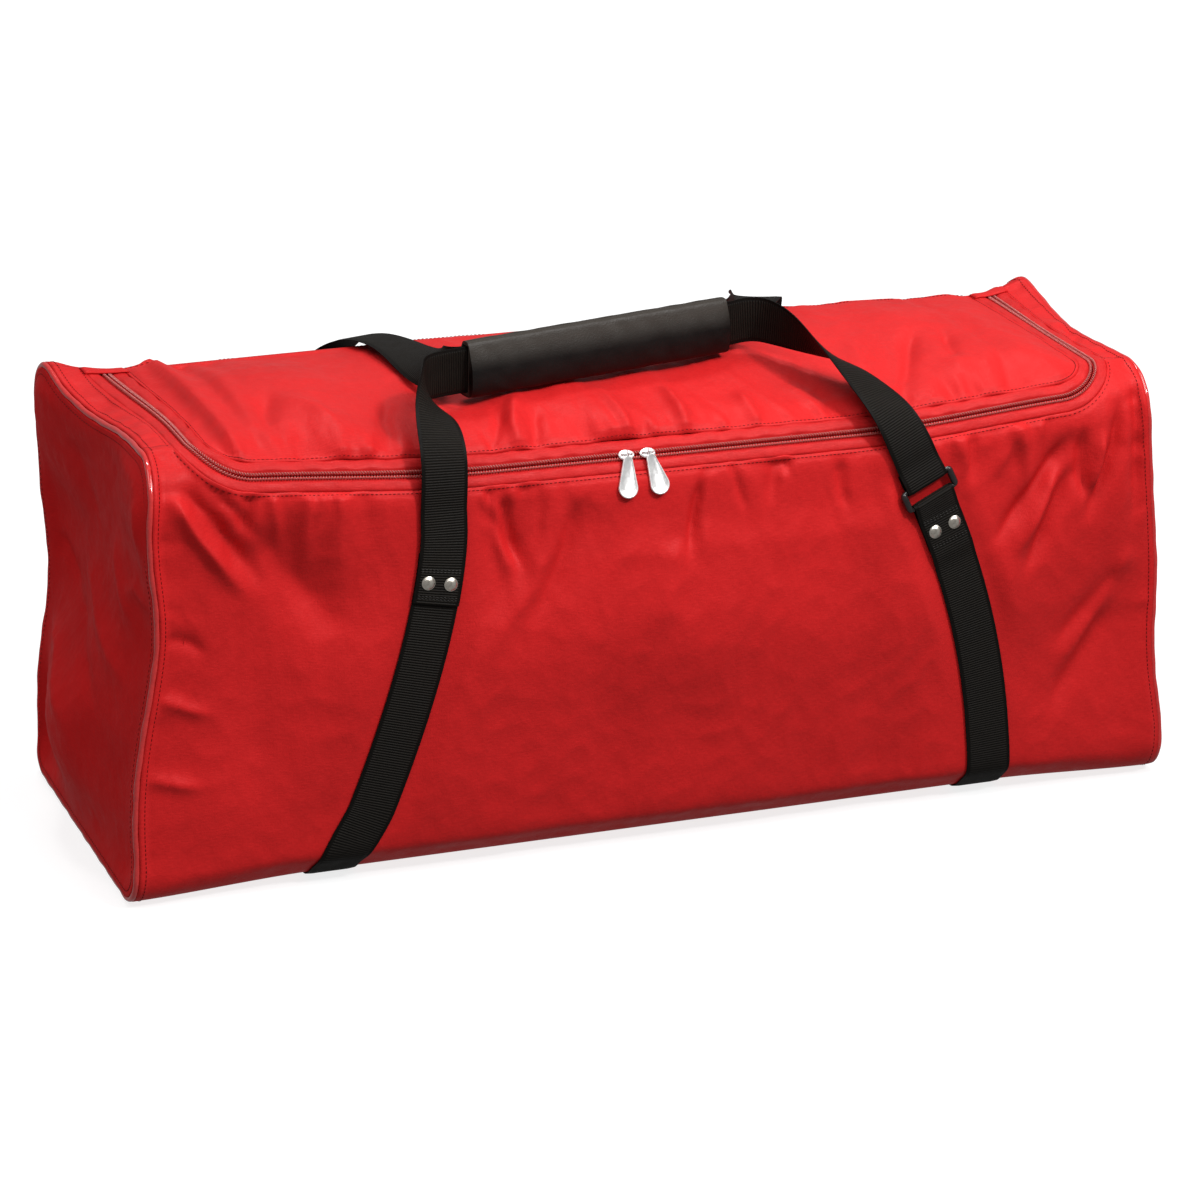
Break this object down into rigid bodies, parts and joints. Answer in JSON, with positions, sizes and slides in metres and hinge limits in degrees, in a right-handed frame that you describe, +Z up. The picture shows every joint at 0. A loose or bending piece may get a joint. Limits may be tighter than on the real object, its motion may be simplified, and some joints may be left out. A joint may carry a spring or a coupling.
{
  "type": "hockey equipment bag",
  "caption": "Long soft sports equipment bag with a U-shaped zip lid, girth straps under the base, and webbing carry handles held together in a padded wrap.",
  "frame": {"origin": "centre of the footprint, on the floor", "axes": "+X along the bag's length, to the right as seen from its front; -Y is the front, with the zip's long run; +Z up"},
  "size_m": [0.9132, 0.3214, 0.4175],
  "materials": {
    "red_cloth": "coated red nylon with a satin sheen",
    "red_piping": "glossy vinyl-covered cord",
    "red_zip": "woven zip tape and nylon coil",
    "black_webbing": "ribbed woven webbing",
    "black_vinyl": "padded coated vinyl",
    "black_plastic": "moulded gloss",
    "bright_metal": "polished nickel"
  },
  "bodies": {
    "bag_body": {"front_panel": "red_cloth", "back_panel": "red_cloth", "bottom_panel": "red_cloth", "left_end_panel": "red_cloth", "right_end_panel": "red_cloth", "left_piping": "red_piping", "right_piping": "red_piping", "left_top_strip": "red_cloth", "right_top_strip": "red_cloth", "left_zip_stop": "red_cloth", "right_zip_stop": "red_cloth", "zip_tape_lower": "red_zip", "zip_coil_lower": "red_zip", "left_girth_strap": "black_webbing", "right_girth_strap": "black_webbing", "front_handle_rivet_1": "bright_metal", "front_handle_rivet_2": "bright_metal", "front_ring_rivet_1": "bright_metal", "front_ring_rivet_2": "bright_metal", "back_handle_rivet_1": "bright_metal", "back_handle_rivet_2": "bright_metal", "back_ring_rivet_1": "bright_metal", "back_ring_rivet_2": "bright_metal"},
    "lid": {"lid_panel": "red_cloth", "zip_tape_upper": "red_zip", "zip_coil_upper": "red_zip"},
    "left_slider": {"left_slider": "bright_metal"},
    "right_slider": {"right_slider": "bright_metal"},
    "left_pull": {"left_pull": "bright_metal"},
    "right_pull": {"right_pull": "bright_metal"},
    "front_handle": {"front_handle_webbing": "black_webbing"},
    "back_handle": {"back_handle_webbing": "black_webbing", "grip_back": "black_vinyl"},
    "grip_flap": {"grip_flap": "black_vinyl"},
    "front_ring": {"front_ring": "black_plastic"},
    "back_ring": {"back_ring": "black_plastic"}
  },
  "joints": [
    {"name": "lid_hinge", "type": "hinge", "parent": "bag_body", "child": "lid", "pos_m": [0, 0.10696, 0.36555], "axis": [-1, 0, 0], "range_deg": [0, 90], "deforming": ["front_handle_webbing", "back_handle_webbing", "grip_back", "grip_flap"]},
    {"name": "left_slider_slide", "type": "slide", "parent": "lid", "child": "left_slider", "axis": [-1, 0, 0], "range_m": [0, 0.108]},
    {"name": "right_slider_slide", "type": "slide", "parent": "lid", "child": "right_slider", "axis": [1, 0, 0], "range_m": [0, 0.17]},
    {"name": "left_pull_hinge", "type": "hinge", "parent": "left_slider", "child": "left_pull", "pos_m": [-0.04209, -0.13873, 0.33427], "axis": [-1, 0, 0], "range_deg": [0, 160]},
    {"name": "right_pull_hinge", "type": "hinge", "parent": "right_slider", "child": "right_pull", "pos_m": [-0.02409, -0.13873, 0.33427], "axis": [-1, 0, 0], "range_deg": [0, 160]},
    {"name": "front_handle_swing", "type": "hinge", "parent": "bag_body", "child": "front_handle", "pos_m": [0, -0.15415, 0.27511], "axis": [1, 0, 0], "range_deg": [0, 170], "deforming": ["right_girth_strap"]},
    {"name": "back_handle_swing", "type": "hinge", "parent": "bag_body", "child": "back_handle", "pos_m": [0, 0.15415, 0.28442], "axis": [-1, 0, 0], "range_deg": [0, 170], "deforming": ["left_girth_strap"]},
    {"name": "grip_flap_hinge", "type": "hinge", "parent": "back_handle", "child": "grip_flap", "pos_m": [-0.02673, -0.03805, 0.41625], "axis": [-0.9797, -0.2001, -0.0104], "range_deg": [0, 120]},
    {"name": "front_ring_twist", "type": "hinge", "parent": "front_handle", "child": "front_ring", "pos_m": [0.22316, -0.15415, 0.27511], "axis": [-0.0196, 0.9996, -0.0178], "range_deg": [0, 50.63]},
    {"name": "back_ring_twist", "type": "hinge", "parent": "back_handle", "child": "back_ring", "pos_m": [-0.22318, 0.15415, 0.28442], "axis": [0.0182, -0.9995, -0.0242], "range_deg": [0, 46.89]}
  ],
  "couplings": [
    {"joint": "front_ring_twist", "follows": "front_handle_swing", "ratio": 0.2978},
    {"joint": "back_ring_twist", "follows": "back_handle_swing", "ratio": 0.2758}
  ]
}
